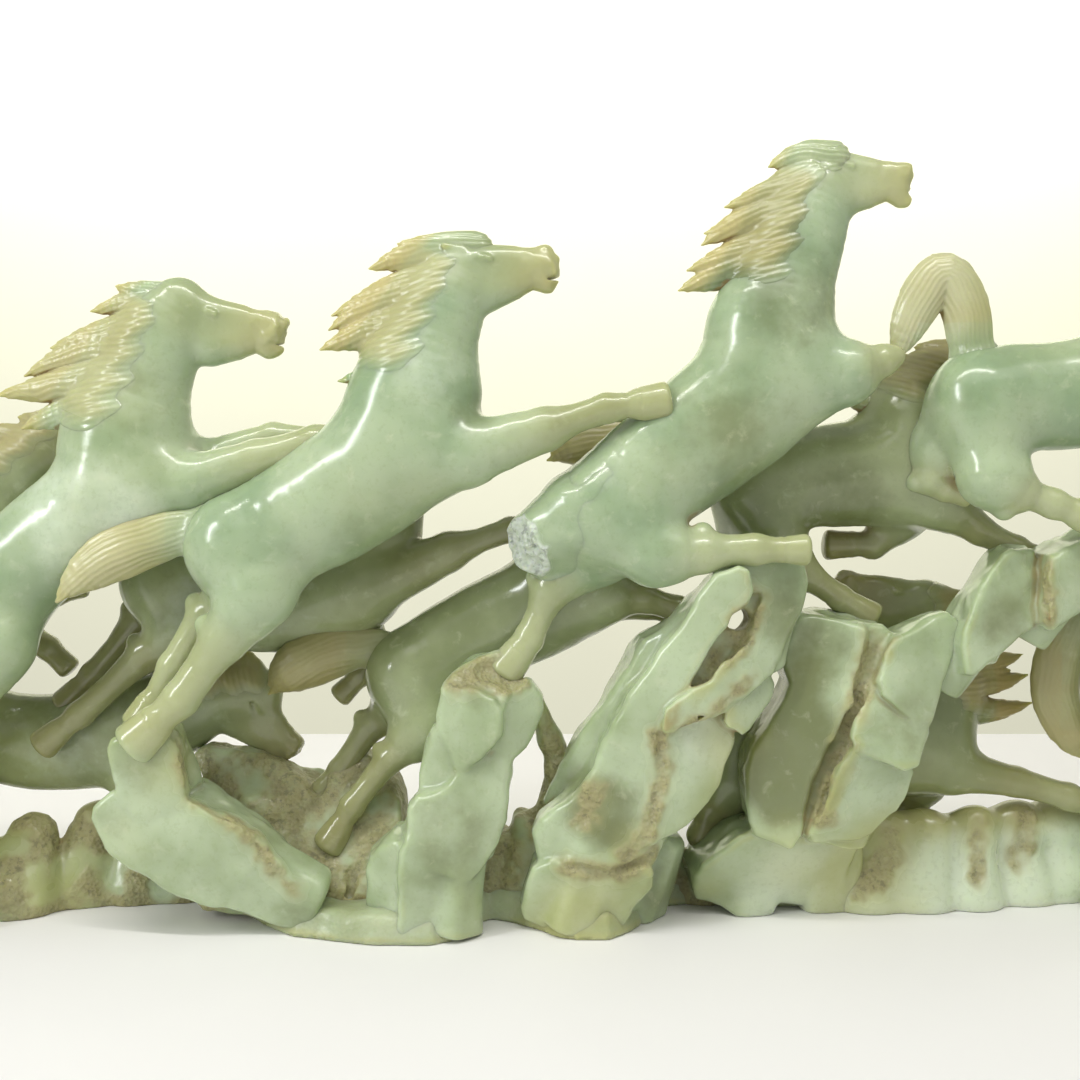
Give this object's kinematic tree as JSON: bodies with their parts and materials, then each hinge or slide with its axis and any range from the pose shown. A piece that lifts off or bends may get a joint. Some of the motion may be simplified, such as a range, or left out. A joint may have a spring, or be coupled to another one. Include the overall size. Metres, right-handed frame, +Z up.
{
  "type": "jade figurine",
  "caption": "Long openwork jade carving of a herd of galloping horses, carved in two rows over a line of upright crags on a thin rocky base.",
  "frame": {"origin": "middle of the footprint, on the table", "axes": "+X the way the herd gallops, -Y the side it is looked at from, +Z up"},
  "size_m": [0.6371, 0.0899, 0.2756],
  "materials": {
    "jade_front_row": "polished pale green serpentine jade, translucent, warmer and tanner on the heads and lower legs",
    "jade_back_row": "polished jade, deeper olive green",
    "jade_hair": "jade cut in fine hair lines, tan-tinted, satin",
    "jade_rock": "jade rock, polished faces with rough dusty grooves",
    "jade_base": "jade rock, roughly dressed with strata lines",
    "jade_broken": "whitish crystalline broken face, unpolished"
  },
  "bodies": {
    "root": {"base_slab": "jade_base", "crag_1": "jade_rock", "ledge_left": "jade_rock", "crag_2": "jade_rock", "hollow": "jade_rock", "crag_3": "jade_rock", "pillar": "jade_rock", "crag_4": "jade_rock", "saddle": "jade_rock", "crag_5": "jade_rock", "crag_6": "jade_rock", "ledge_right": "jade_rock", "crag_7": "jade_rock", "horse_1_body": "jade_back_row", "horse_2_body": "jade_back_row", "horse_3_body": "jade_front_row", "horse_4_body": "jade_back_row", "horse_5_body": "jade_front_row", "horse_6_body": "jade_back_row", "horse_7_body": "jade_front_row", "horse_8_body": "jade_back_row", "horse_9_body": "jade_back_row", "horse_10_body": "jade_front_row", "horse_11_body": "jade_back_row", "horse_1_mane": "jade_hair", "horse_2_mane": "jade_hair", "horse_3_mane": "jade_hair", "horse_4_mane": "jade_hair", "horse_5_mane": "jade_hair", "horse_6_mane": "jade_hair", "horse_7_mane": "jade_hair", "horse_8_mane": "jade_hair", "horse_9_mane": "jade_hair", "horse_10_mane": "jade_hair", "horse_11_mane": "jade_hair", "horse_1_tail": "jade_hair", "horse_2_tail": "jade_hair", "horse_3_tail": "jade_hair", "horse_4_tail": "jade_hair", "horse_5_tail": "jade_hair", "horse_6_tail": "jade_hair", "horse_7_tail": "jade_broken", "horse_8_tail": "jade_hair", "horse_9_tail": "jade_hair", "horse_10_tail": "jade_hair", "horse_11_tail": "jade_hair"}
  },
  "joints": []
}
